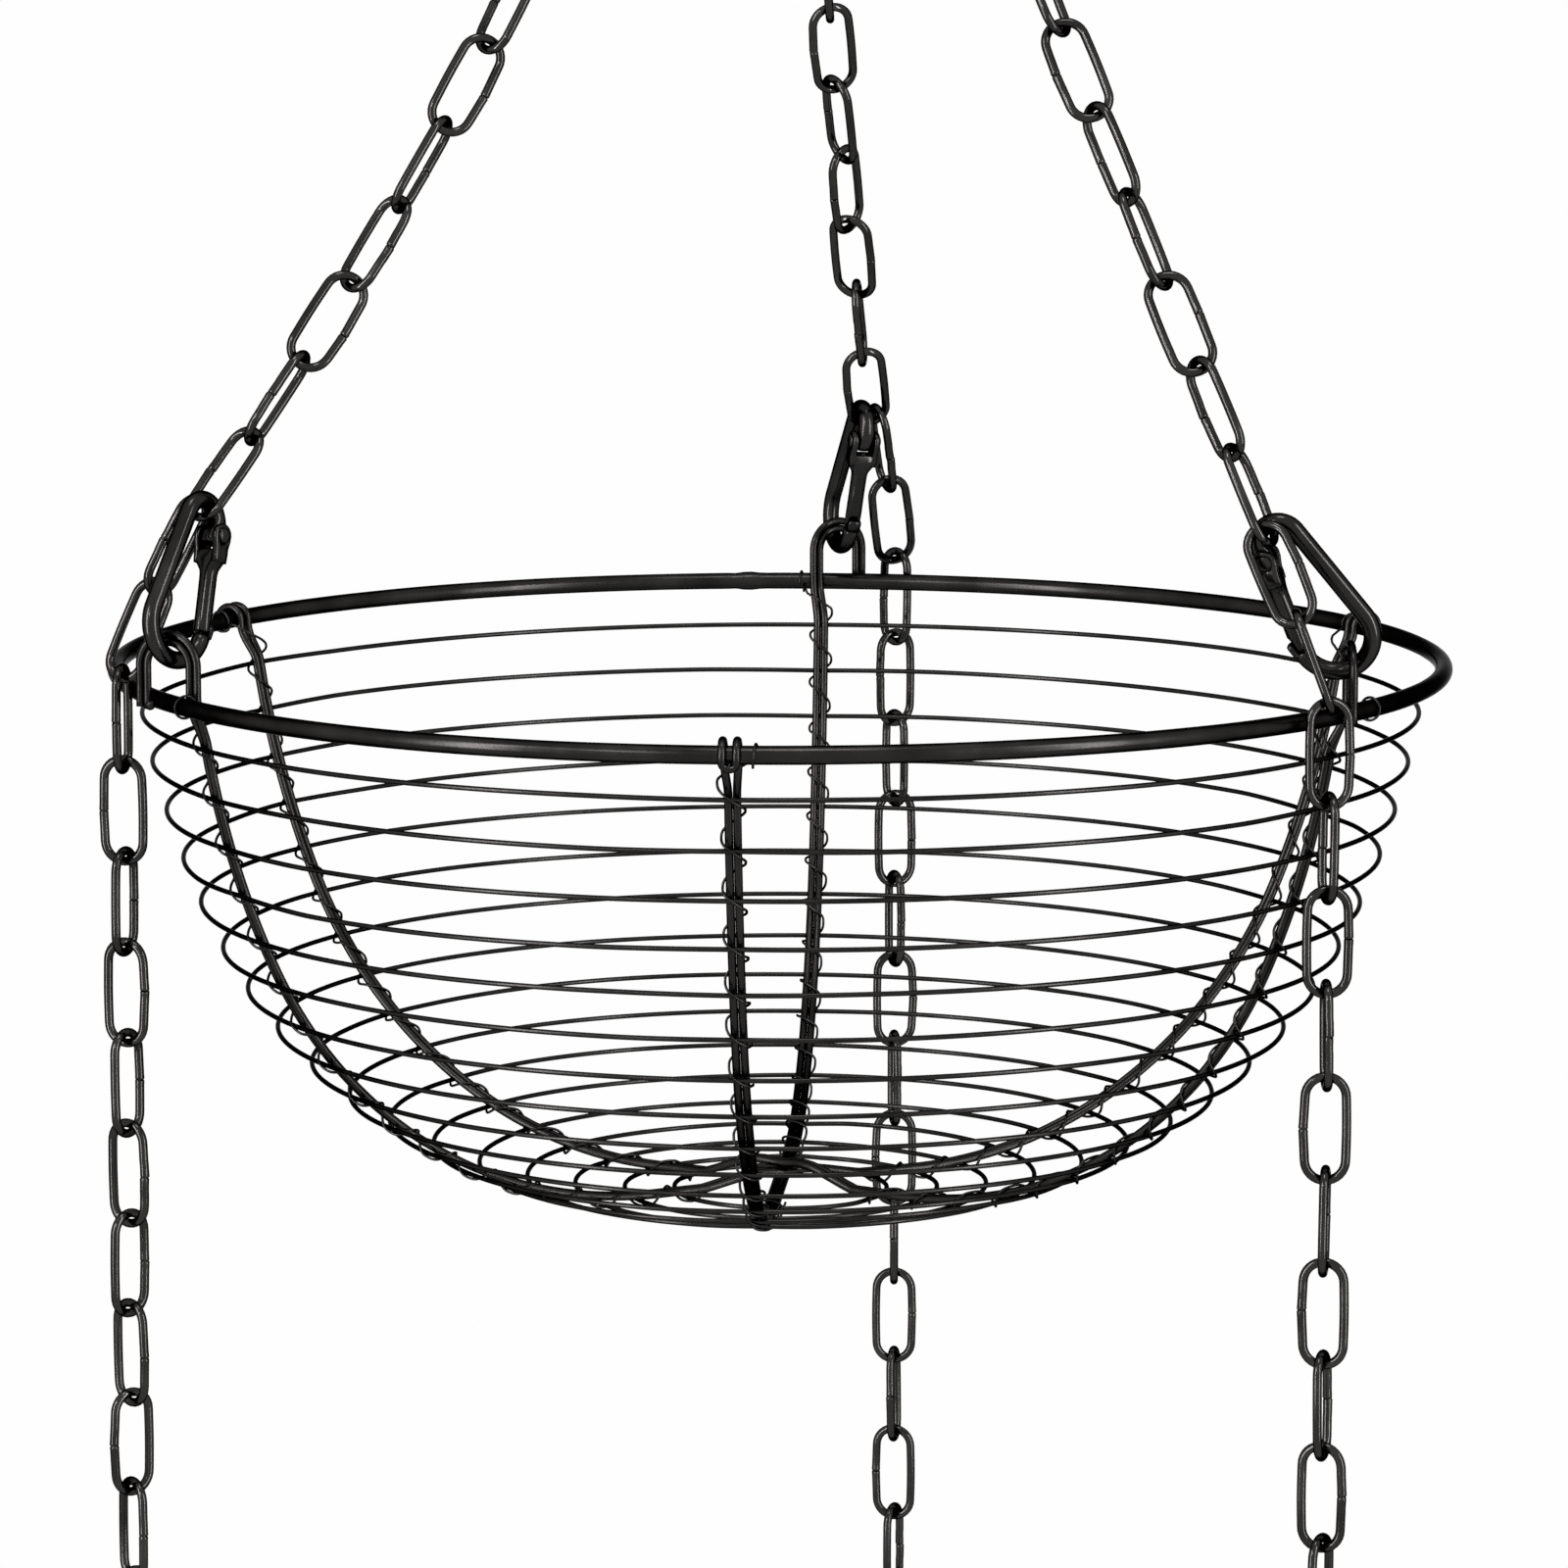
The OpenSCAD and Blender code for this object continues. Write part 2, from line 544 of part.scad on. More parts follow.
// Room for the flat stretches between the points of a turn
bind_chord = 0.175;
bind_corner = 1.08;
bind_out = hoop_wire / 2 + lay_gap + bind_wire / 2 - rod_off + bind_chord;
rod_bow = hoop_pitch * hoop_pitch / 8 / heel_r;
bind_in = rod_wire / 2 + bind_wire / 2 + seat_gap + rod_bow;
bind_side = rod_half + rod_wire / 2 + bind_wire / 2 + seat_gap;
bind_start = -110;
bind_end = 90 + 360 * (hoop_count - 1) + 80;
rim_wrap_r = (rim_wire + bind_wire) / 2 + 0.45;
rim_wrap_u = -4.4;
rim_wrap_lead = 1.2;
// The wire on its way from the rim to the rods: a point past the inner leg of an eye
bind_pass = [1, -6.1, -2.2];
bind_splay = 0.2;

function bind_turn(a, splayed) =
  let (s = hoop_pitch * (a - 90) / 360, off = sin(a) > 0 ? bind_out : bind_in,
    wide = bind_side + (s < 0 && splayed ? -s * bind_splay : 0),
    corner = abs(sin(2 * a)) > 0.9 ? bind_corner : 1,
    q = section(s, rod_off + off * sin(a) * corner))
  [wide * cos(a) * corner, q[0], q[1]];
function bind_path(az) =
  let (splayed = len(search(az, hairpin_azimuth)) > 0)
  on_rib(az, concat(
    [for (a = [190 : -bind_step : -170])
      [rim_wrap_u - rim_wrap_lead * (a + 170) / 360, rim_r + rim_wrap_r * cos(a), rim_wrap_r * sin(a)]],
    [[rim_wrap_u, rim_r, 0] + bind_pass],
    [for (a = [bind_start, for (b = [-90 : bind_step : bind_end]) b]) bind_turn(a, splayed)]));
// Least clear space between two turns of one binding wire
function own_gap(p) = min([for (i = [0 : len(p) - 1], j = [i + 5 : 1 : min(i + 20, len(p) - 1)])
  norm(p[i] - p[j])]) - bind_wire;
echo(binding_wire_own_gap = min([for (az = [bind_azimuth[0], bind_azimuth[1]]) own_gap(bind_path(az))]));

module binding_wire(i) {
  color(black) translate([0, 0, rim_z]) wire(bind_path(bind_azimuth[i]), bind_wire, 5);
}

// Ring and ceiling hook

module top_ring() {
  color(chain_black) translate([0, 0, ring_z]) rotate([90, 0, 0])
    rotate_extrude() translate([ring_r, 0]) circle(d = ring_wire);
}

flange_d = 14;
flange_t = 1.4;
shank_d = 5.6;
// Plain length of the screw between the flange and its thread
screw_neck_l = 2.5;
screw_core_d = 3;
screw_d = 4.6;
thread_pitch = 1.8;
tip_l = 3;
shank_over = 0.5;
shank_edge = 0.8;
flange_edge = 0.4;
hook_end_l = 3;

module ceiling_hook() {
  turns = floor((screw_l - screw_neck_l - tip_l) / thread_pitch);
  teeth = [for (k = [0 : turns - 1]) each [[screw_core_d / 2, screw_neck_l + k * thread_pitch],
    [screw_d / 2, screw_neck_l + (k + 0.5) * thread_pitch]]];
  shank_h = collar_h + ceiling_wire / 2 + shank_over;
  color("silver") union() {
    rotate_extrude() polygon(concat([[0, -shank_h], [shank_d / 2 - shank_edge, -shank_h],
      [shank_d / 2, -shank_h + shank_edge], [shank_d / 2, -flange_t],
      [flange_d / 2 - flange_edge, -flange_t], [flange_d / 2, -flange_t + flange_edge], [flange_d / 2, 0],
      [screw_core_d / 2, 0]], teeth, [[screw_core_d / 2, screw_l - tip_l], [0, screw_l]]));
    translate([0, 0, ceiling_hook_z + ceiling_r]) rotate([90, 0, 90]) {
      rotate([0, 0, 90]) rotate_extrude(angle = 90) translate([ceiling_r, 0]) circle(d = ceiling_wire);
      rotate([0, 0, 180]) rotate_extrude(angle = 180) translate([ceiling_r, 0]) circle(d = ceiling_wire);
    }
    translate([0, ceiling_r, ceiling_hook_z + ceiling_r]) cylinder(d = ceiling_wire, h = hook_end_l);
  }
}

ceiling_hook();
top_ring();
rim();
gate_rivets();
for (i = [1 : hoop_count]) hoop(i);
for (i = [0 : 5]) binding_wire(i);
for (i = [0 : 2]) {
  cross_rod(i);
  upper_chain(i);
  snap_hook(i);
  upper_gate(i);
  upper_spring(i);
  lead_links(i);
  lower_chain(i);
  lower_hook(i);
  lower_gate(i);
  lower_rivet(i);
  lower_spring(i);
}
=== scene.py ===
"""A hanging fruit basket of black painted wire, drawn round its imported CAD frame."""
import math
import random

import bmesh
import bpy
import numpy as np
from mathutils import Euler, Matrix, Vector


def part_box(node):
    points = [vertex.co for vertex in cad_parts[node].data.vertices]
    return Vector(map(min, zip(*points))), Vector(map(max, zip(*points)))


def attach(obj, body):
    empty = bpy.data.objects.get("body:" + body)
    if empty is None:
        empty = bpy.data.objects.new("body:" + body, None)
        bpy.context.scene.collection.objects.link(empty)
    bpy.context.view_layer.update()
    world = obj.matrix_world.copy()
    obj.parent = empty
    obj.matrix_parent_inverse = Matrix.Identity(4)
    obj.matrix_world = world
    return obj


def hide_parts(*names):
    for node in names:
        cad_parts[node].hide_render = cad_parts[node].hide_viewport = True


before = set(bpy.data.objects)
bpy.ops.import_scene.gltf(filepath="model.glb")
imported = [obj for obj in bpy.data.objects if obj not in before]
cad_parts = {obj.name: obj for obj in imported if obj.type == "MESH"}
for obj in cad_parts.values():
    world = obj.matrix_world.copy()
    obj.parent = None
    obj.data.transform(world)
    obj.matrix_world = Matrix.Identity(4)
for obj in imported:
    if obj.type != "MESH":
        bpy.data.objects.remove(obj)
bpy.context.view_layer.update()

# Camera
# The photograph is taken from a little above the rim and from some way off, so the
# bowl shows as a flat oval. The rim's middle lies above the middle of the picture.
picture_px = 1600
focal_px = 7292
sensor_mm = 36
camera_data = bpy.data.cameras.new("camera")
camera_data.sensor_width = sensor_mm
camera_data.lens = focal_px / picture_px * sensor_mm
camera_data.clip_end = 60
camera = bpy.data.objects.new("camera", camera_data)
bpy.context.scene.collection.objects.link(camera)
bpy.context.scene.camera = camera
rim_low, rim_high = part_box("rim")
rim_middle = (rim_low + rim_high) / 2
camera_distance = 1.6
camera_rise = math.radians(7.53)
camera_side = math.radians(4)
rim_px = (796.7, 674.0)
to_camera = Vector((math.cos(camera_rise) * math.sin(camera_side),
                    -math.cos(camera_rise) * math.cos(camera_side),
                    math.sin(camera_rise)))
camera.location = rim_middle + camera_distance * to_camera
look_down = camera_rise + math.atan((picture_px / 2 - rim_px[1]) / focal_px)
look_side = camera_side - math.atan((picture_px / 2 - rim_px[0]) / focal_px)
camera.rotation_euler = Euler((math.pi / 2 - look_down, 0, look_side))

# Rim
# A ring of 4 mm steel wire, bent round and butt welded at the back. It is dipped or
# sprayed black with the rest of the bowl, and the paint lies a little unevenly on it.
MM = 0.001
RIM_R = (rim_high.x - rim_low.x) / 2 / MM - 2
RIM_WIRE_R = 2.0
RIM_Z = rim_middle.z / MM
WELD_TURN = math.radians(187)
WELD_LENGTH = 2.2


def sweep(path, radius, sides, closed=False):
    """Points and faces of a round wire along a path in millimetres. radius may be one number or one for each point."""
    path = np.array(path, float)
    count = len(path)
    if closed:
        along = np.roll(path, -1, 0) - np.roll(path, 1, 0)
    else:
        along = np.gradient(path, axis=0)
    along /= np.linalg.norm(along, axis=1)[:, None]
    side = np.zeros_like(path)
    first = np.array([0, 0, 1.0]) if abs(along[0][2]) < 0.9 else np.array([1.0, 0, 0])
    for i in range(count):
        first = first - (first @ along[i]) * along[i]
        first /= np.linalg.norm(first)
        side[i] = first
    other = np.cross(along, side)
    twist = np.zeros(count)
    if closed:
        back = first - (first @ along[0]) * along[0]
        twist = np.linspace(0, 1, count, endpoint=False) * math.atan2(back @ other[0], back @ side[0])
    reach = np.broadcast_to(np.asarray(radius, float), (count,))[:, None, None]
    turn = np.arange(sides) * 2 * math.pi / sides
    angle = turn[None, :] - twist[:, None]
    rings = path[:, None, :] + reach * (side[:, None, :] * np.cos(angle)[..., None]
                                        + other[:, None, :] * np.sin(angle)[..., None])
    faces = []
    for i in range(count if closed else count - 1):
        a, b = i * sides, (i + 1) % count * sides
        faces += [(a + k, a + (k + 1) % sides, b + (k + 1) % sides, b + k) for k in range(sides)]
    if not closed:
        faces += [tuple(range(sides))[::-1], tuple((count - 1) * sides + k for k in range(sides))]
    return rings.reshape(-1, 3), faces


def piece(name, shapes, body, nodes, finish):
    """One mesh object made of several shapes in millimetres, which stands for CAD nodes and rides on their body."""
    points, faces, start = [], [], 0
    for shape_points, shape_faces in shapes:
        points.append(np.asarray(shape_points, float))
        faces += [tuple(start + k for k in f) for f in shape_faces]
        start += len(shape_points)
    mesh = bpy.data.meshes.new(name)
    mesh.from_pydata((np.concatenate(points) * MM).tolist(), [], faces)
    mesh.validate()
    turned = bmesh.new()
    turned.from_mesh(mesh)
    bmesh.ops.recalc_face_normals(turned, faces=turned.faces)
    turned.to_mesh(mesh)
    turned.free()
    mesh.shade_smooth()
    mesh.materials.append(finish)
    made = bpy.data.objects.new(name, mesh)
    bpy.context.scene.collection.objects.link(made)
    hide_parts(*nodes)
    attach(made, body)
    return made


class Value:
    """A shader socket that can be used in sums."""

    def __init__(self, tree, socket):
        self.tree = tree
        self.socket = socket

    def math(self, operation, first, second):
        made = self.tree.nodes.new("ShaderNodeMath")
        made.operation = operation
        for socket, value in zip(made.inputs, (first, second)):
            if isinstance(value, Value):
                self.tree.links.new(value.socket, socket)
            else:
                socket.default_value = value
        return Value(self.tree, made.outputs[0])

    def __add__(self, other):
        return self.math("ADD", self, other)

    def __sub__(self, other):
        return self.math("SUBTRACT", self, other)

    def __rsub__(self, other):
        return self.math("SUBTRACT", other, self)

    def __mul__(self, other):
        return self.math("MULTIPLY", self, other)

    def __pow__(self, other):
        return self.math("POWER", self, other)

    __radd__ = __add__
    __rmul__ = __mul__


class Finish:
    """A material, its shader and the nodes that feed it."""

    def __init__(self, name):
        self.material = bpy.data.materials.new(name)
        self.material.use_nodes = True
        self.tree = self.material.node_tree
        self.tree.nodes.clear()
        self.out = self.tree.nodes.new("ShaderNodeOutputMaterial")

    def node(self, kind, settings=None, sockets=None, output=0):
        """Makes a node: its settings first, then the values or links of its sockets."""
        made = self.tree.nodes.new(kind)
        for name, value in (settings or {}).items():
            if name == "stops":
                ramp = made.color_ramp.elements
                while len(ramp) < len(value):
                    ramp.new(1)
                for stop, (place, colour) in zip(ramp, value):
                    stop.position = place
                    stop.color = (*colour, 1) if hasattr(colour, "__len__") else (colour, colour, colour, 1)
            else:
                setattr(made, name, value)
        for name, value in (sockets or {}).items():
            socket = made.inputs[name]
            if isinstance(value, Value):
                self.tree.links.new(value.socket, socket)
            elif socket.type == "RGBA":
                socket.default_value = (*value, 1)
            else:
                socket.default_value = value
        return Value(self.tree, made.outputs[output])

    def place(self):
        """The point on the object, in metres."""
        return self.node("ShaderNodeTexCoord", output=3)

    def noise(self, size_mm, detail=2, roughness=0.5):
        """A cloudy pattern from 0 to 1, with patches of about that size."""
        return self.node("ShaderNodeTexNoise", {}, {
            "Vector": self.place(), "Scale": 1 / (size_mm * MM), "Detail": detail, "Roughness": roughness})

    def bump(self, height, distance_mm, strength=1.0, under=None):
        sockets = {"Height": height, "Distance": distance_mm * MM, "Strength": strength}
        if under:
            sockets["Normal"] = under
        return self.node("ShaderNodeBump", {}, sockets)

    def shader(self, **sockets):
        """Finishes the material with its main shader, whose sockets are named as words joined by _."""
        named = {k.replace("_", " "): v for k, v in sockets.items()}
        done = self.node("ShaderNodeBsdfPrincipled", {}, named)
        self.tree.links.new(done.socket, self.out.inputs["Surface"])
        return self.material


def black_paint(name, tone, gloss, grain_mm, height_mm):
    """Black lacquer on wire: a dark gloss that falls to black at the edges, duller in patches, with a fine grain."""
    finish = Finish(name)
    patch = finish.noise(11, 3)
    grain = finish.noise(grain_mm, 2)
    runs = finish.noise(4.5, 1)
    colour = finish.node("ShaderNodeMix", {"data_type": "RGBA"}, {
        "Factor": patch, "A": tuple(c * 0.3 for c in tone), "B": tuple(c * 1.7 for c in tone)}, 2)
    rough = patch * 0.12 + grain * 0.06 + (gloss - 0.09)
    normal = finish.bump(grain + runs * 1.6, height_mm)
    return finish.shader(Base_Color=colour, Metallic=1.0, Roughness=rough, Normal=normal,
                         Specular_Tint=(0.05, 0.05, 0.05))


bowl_paint = black_paint("bowl_paint", (0.0220, 0.0210, 0.0205), 0.26, 0.9, 0.008)


def about(turn):
    """Outwards from the middle of the bowl, for a turn measured from the side that faces the viewer."""
    return np.array([math.sin(turn), -math.cos(turn), 0])


rim_turns = np.linspace(0, 2 * math.pi, 480, endpoint=False)
rim_path, rim_thick = [], []
for turn in rim_turns:
    past_weld = math.remainder(turn - WELD_TURN, 2 * math.pi) * RIM_R / WELD_LENGTH
    bead = math.exp(-past_weld ** 2) * 0.28 - math.exp(-(abs(past_weld) - 1.6) ** 2 * 6) * 0.1
    hand = 0.12 * math.sin(3 * turn + 0.6) + 0.08 * math.sin(5 * turn + 2)
    rim_path.append(about(turn) * (RIM_R + hand) + np.array([0, 0, RIM_Z + 0.15 * math.sin(2 * turn + 1)]))
    rim_thick.append(RIM_WIRE_R - 0.03 + bead + 0.015 * math.sin(17 * turn) * math.sin(7 * turn))
piece("rim_ring", [sweep(rim_path, rim_thick, 32, True)], "hanger", ["rim"], bowl_paint)

# Hoops
# Seventeen rings of 1.1 mm wire, each bent round and closed by itself. They lie against
# the outside of the rods, closer together towards the bottom in the photograph's view.
HOOPS = 17
HOOP_R = 0.55
BOWL_DEPTH = 120.1
SIDE_R = 198.3
HEEL_R = 104.5
HEEL_TURN = math.radians(24.85)
SIDE_INSET = 4
FIRST_HOOP = 10
LAST_HOOP_R = 24
side_z = HEEL_R - BOWL_DEPTH + (SIDE_R - HEEL_R) * math.sin(HEEL_TURN)
side_x = RIM_R - SIDE_INSET - math.sqrt(SIDE_R ** 2 - side_z ** 2)
flat_x = side_x + (SIDE_R - HEEL_R) * math.cos(HEEL_TURN)
first_turn = math.asin((side_z + FIRST_HOOP) / SIDE_R)
side_run = SIDE_R * (HEEL_TURN - first_turn)
last_turn = math.pi / 2 if LAST_HOOP_R < flat_x else math.acos((LAST_HOOP_R - flat_x) / HEEL_R)
hoop_run = side_run + HEEL_R * (last_turn - HEEL_TURN) + max(0, flat_x - LAST_HOOP_R)
HOOP_PITCH = hoop_run / (HOOPS - 1)


def section(run, off=0.0):
    """Radius and height of the bowl's side, that far down along it from the highest hoop, and off outwards."""
    on_side = run < side_run
    turn = min(math.pi / 2, first_turn + run / SIDE_R if on_side else HEEL_TURN + (run - side_run) / HEEL_R)
    past = max(0, run - side_run - HEEL_R * (math.pi / 2 - HEEL_TURN))
    bend = (SIDE_R if on_side else HEEL_R) + off
    return ((side_x if on_side else flat_x) + bend * math.cos(turn) - past,
            (side_z if on_side else HEEL_R - BOWL_DEPTH) - bend * math.sin(turn), turn)


RIBS = [math.radians(a) for a in (0, 180, -57, 118, 60, -116)]
chance = random.Random(5)
for k in range(HOOPS):
    radius, height, _ = section(k * HOOP_PITCH)
    waves = [(n, chance.uniform(0, 2 * math.pi), chance.gauss(0, 0.22) / n) for n in (1, 2, 3, 4, 5)]
    path = []
    for turn in np.linspace(0, 2 * math.pi, 240, endpoint=False):
        free = min(1, min(abs(math.remainder(turn - rib, 2 * math.pi)) for rib in RIBS) / 0.2)
        wave = sum(size * math.sin(n * turn + start) for n, start, size in waves) * free
        path.append(about(turn) * (radius + 0.5 * wave) + np.array([0, 0, RIM_Z + height + wave]))
    name = "%02d" % (k + 1)
    piece("wire_hoop_" + name, [sweep(path, HOOP_R, 12, True)], "hanger", ["hoop_" + name], bowl_paint)

# Cross rods
# Three wires of 1.75 mm, each bent double. One end is bent over the rim in a hairpin. At
# the other the two wires rise past the rim, arch over as an eye and are welded outside it.
ROD_R = 0.875
LAY_GAP = 0.2
ROD_HALF = ROD_R + 0.025
ROD_OFF = -(HOOP_R + LAY_GAP + ROD_R)
EYE_TURN = math.radians(36)
EYE_SHIFT = 3.6
EYE_TOP = 12.225
EYE_IN_R = 8.65 / 2
EYE_END = -1.2
HAIRPIN_R = 1.5
WRAP_R = RIM_WIRE_R + ROD_R + LAY_GAP
WRAP_END = math.radians(-20)
CROSS_RISE = 2 * ROD_R + 0.3
CROSS_IN = 4


def on_rib(rib, points):
    """Places of points that are given as sideways, outwards and up on a rib."""
    out = about(rib)
    right = np.array([-math.cos(rib), -math.sin(rib), 0])
    return [out * r + right * u + np.array([0, 0, RIM_Z + z]) for u, r, z in points]


def bezier(a, b, c, d, steps):
    """Points on a smooth bend between two ends, without the first end."""
    a, b, c, d = (np.array(p, float) for p in (a, b, c, d))
    return [a * (1 - t) ** 3 + b * 3 * t * (1 - t) ** 2 + c * 3 * t * t * (1 - t) + d * t ** 3
            for t in np.linspace(0, 1, steps + 1)[1:]]


def rib_line(u, hoops):
    return [(u, *section(k * HOOP_PITCH, ROD_OFF)[:2]) for k in hoops]


def neck(u, top):
    """From the highest hoop up to a point beside the rim."""
    radius, height, turn = section(0, ROD_OFF)
    low = np.array([u, radius, height])
    high = np.array(top, float)
    return bezier(low, low + np.array([0, math.sin(turn), math.cos(turn)]) * 3.5, high - np.array([0, 0, 4.5]), high, 10)


def inner_foot(r):
    return [EYE_SHIFT - r * math.cos(EYE_TURN), RIM_R - r * math.sin(EYE_TURN), 1.5]


def arch(r):
    """One arch of an eye, from its end outside the rim to its foot inside it."""
    across = np.array([math.cos(EYE_TURN), math.sin(EYE_TURN), 0])
    middle = np.array([EYE_SHIFT, RIM_R, 0])
    rise = np.array([0, 0, 1.0])
    points = [middle + across * r + rise * z for z in np.linspace(EYE_END, EYE_TOP - EYE_IN_R, 8)[:-1]]
    return points + [middle + across * r * math.cos(a) + rise * (EYE_TOP - EYE_IN_R + r * math.sin(a))
                     for a in np.linspace(0, math.pi, 33)]


def hairpin():
    """Up over the rim, down outside it, round the bend and back, as a list from one neck to the other."""
    over = np.linspace(math.pi, WRAP_END, 25)
    up_side = [(HAIRPIN_R, RIM_R + WRAP_R * math.cos(a), WRAP_R * math.sin(a)) for a in over[1:]]
    bend = []
    for b in np.linspace(0, math.pi, 17)[1:-1]:
        low = HAIRPIN_R * math.sin(b)
        bend.append((HAIRPIN_R * math.cos(b), RIM_R + WRAP_R * math.cos(WRAP_END) + low * math.sin(WRAP_END),
                     WRAP_R * math.sin(WRAP_END) - low * math.cos(WRAP_END)))
    down_side = [(-u, r, z) for u, r, z in reversed(up_side)]
    start = neck(ROD_HALF, (HAIRPIN_R, RIM_R - WRAP_R, 0))
    end = neck(-ROD_HALF, (-HAIRPIN_R, RIM_R - WRAP_R, 0))
    return [*start, *up_side, *bend, *down_side, *end[::-1]]


def oval(middle, u, v, wide, thick, square=2.0, sides=24):
    """A ring of points: an oval, and the nearer to a rectangle the larger square is."""
    turn = np.arange(sides) * 2 * math.pi / sides
    c, s = np.cos(turn), np.sin(turn)
    reach = (np.abs(c) ** square + np.abs(s) ** square) ** (-1 / square)
    return np.array(middle, float) + np.outer(wide * reach * c, u) + np.outer(thick * reach * s, v)


def loft(rings, closed=False):
    """A skin over rings of points, with a face over each end unless it closes on itself."""
    sides = len(rings[0])
    count = len(rings)
    faces = []
    for i in range(count if closed else count - 1):
        a, b = i * sides, (i + 1) % count * sides
        faces += [(a + k, a + (k + 1) % sides, b + (k + 1) % sides, b + k) for k in range(sides)]
    if not closed:
        faces += [tuple(range(sides))[::-1], tuple((count - 1) * sides + k for k in range(sides))]
    return np.concatenate(rings), faces


def weld(eye, r, seed):
    """A bead of weld between the rim and the end of an eye."""
    hand = random.Random(seed)
    middle = np.array([EYE_SHIFT + r * math.cos(EYE_TURN), RIM_R + RIM_WIRE_R + 0.5])
    rings = []
    for z, wide in ((-2, 0.2), (-1.8, 0.7), (-1.4, 1.0), (-0.8, 1.15), (-0.2, 1.05), (0.3, 0.7), (0.6, 0.25)):
        u, out = middle + np.array([hand.uniform(-0.12, 0.12), hand.uniform(-0.08, 0.08)])
        rings.append(on_rib(eye, oval((u, out, z), (1, 0, 0), (0, 1, 0), wide * 1.15, wide, 2, 16)))
    return loft(rings)


def crossing(eye, pin, side, level):
    """Over the middle of the bottom, where the three rods cross on top of each other."""
    base = section(hoop_run, ROD_OFF)[1]
    far = LAST_HOOP_R - CROSS_IN
    top = base + level * CROSS_RISE
    a = on_rib(eye, [(side * ROD_HALF, r, z) for r, z in ((far, base), (far / 2.5, top), (0, top))])
    b = on_rib(pin, [(-side * ROD_HALF, r, z) for r, z in ((far / 2.5, top), (far, base))])
    ends = [on_rib(eye, [(side * ROD_HALF, far + 4, base)])[0], *a, *b, on_rib(pin, [(-side * ROD_HALF, far + 4, base)])[0]]
    points = []
    for p, q, r, s in zip(ends, ends[1:], ends[2:], ends[3:]):
        for t in np.linspace(0, 1, 9)[:-1]:
            points.append(0.5 * (2 * q + (r - p) * t + (2 * p - 5 * q + 4 * r - s) * t * t
                                 + (3 * q - p - 3 * r + s) * t ** 3))
    return points + [b[-1]]


down = np.linspace(0, HOOPS - 1, 4 * (HOOPS - 1) + 1)
for level, (name, eye, pin) in enumerate((("low", 180, 0), ("middle", -57, 118), ("high", 60, -116))):
    eye, pin = math.radians(eye), math.radians(pin)
    inner = EYE_IN_R + ROD_R
    outer = inner + 2 * ROD_HALF
    path = [
        *on_rib(eye, arch(inner) + neck(ROD_HALF, inner_foot(inner))[::-1]),
        *on_rib(eye, rib_line(ROD_HALF, down)),
        *crossing(eye, pin, 1, level),
        *on_rib(pin, rib_line(-ROD_HALF, down[::-1])),
        *on_rib(pin, hairpin()[::-1]),
        *on_rib(pin, rib_line(ROD_HALF, down)),
        *crossing(eye, pin, -1, level)[::-1],
        *on_rib(eye, rib_line(-ROD_HALF, down[::-1])),
        *on_rib(eye, neck(-ROD_HALF, inner_foot(outer)) + arch(outer)[::-1])]
    welds = [weld(eye, inner, level), weld(eye, outer, level + 3)]
    piece("bent_rod_" + name, [sweep(path, ROD_HALF - 0.005, 16), *welds], "hanger", ["cross_rod_" + name], bowl_paint)

# Binding wires
# Soft wire of 0.6 mm, wound by hand: one turn round the rim beside each rib, then down
# the rib with one turn to each hoop, which ties the hoop to the rod.
BIND_R = 0.3
BIND_SIDE = ROD_HALF + ROD_R + BIND_R + 0.25
BIND_IN = ROD_R + BIND_R + 0.12
BIND_OUT = ROD_R + LAY_GAP + 2 * HOOP_R + BIND_R + 0.03
RIM_TURN_R = RIM_WIRE_R + BIND_R + 0.12
RIM_TURN_U = -4.4
HAIRPIN_RIBS = (0, 2 * math.pi / 360 * 118, -2 * math.pi / 360 * 116)


def binding_path(rib, splayed, seed):
    """The whole wire: round the rim, past the leg of the eye, then down the rib."""
    hand = random.Random(seed)
    points = [(RIM_TURN_U - 1.2 * (a + 170) / 360, RIM_R + RIM_TURN_R * math.cos(math.radians(a)),
               RIM_TURN_R * math.sin(math.radians(a))) for a in range(190, -171, -15)]
    points.append((RIM_TURN_U + 1, RIM_R - 6.1, -2.2))
    loose = [hand.uniform(0, 0.35) for _ in range(HOOPS + 2)]
    shift = [hand.uniform(-0.5, 0.5) for _ in range(HOOPS + 2)]
    for a in [-110, *range(-90, 90 + 360 * (HOOPS - 1) + 81, 15)]:
        run = HOOP_PITCH * (a - 90) / 360
        c, s = math.cos(math.radians(a)), math.sin(math.radians(a))
        square = (abs(c) ** 2.6 + abs(s) ** 2.6) ** (-1 / 2.6)
        k = max(0, int(run / HOOP_PITCH + 1.5))
        wide = BIND_SIDE + loose[k] * abs(c) ** 3 + (-run * 0.2 if run < 0 and splayed else 0)
        off = BIND_OUT if s > 0 else BIND_IN
        radius, height, _ = section(run + shift[k] * abs(c) ** 2 * (1 if s < 0 else 0.6), ROD_OFF + off * s * square)
        points.append((wide * c * square, radius, height))
    return on_rib(rib, points)


def rounded(points, steps):
    """A smooth line through points, with that many steps between each two."""
    p = np.array(points, float)
    p = np.vstack([2 * p[0] - p[1], p, 2 * p[-1] - p[-2]])
    made = []
    for a, b, c, d in zip(p, p[1:], p[2:], p[3:]):
        for t in np.arange(steps) / steps:
            made.append(0.5 * (2 * b + (c - a) * t + (2 * a - 5 * b + 4 * c - d) * t * t + (3 * b - a - 3 * c + d) * t ** 3))
    return made + [p[-2]]


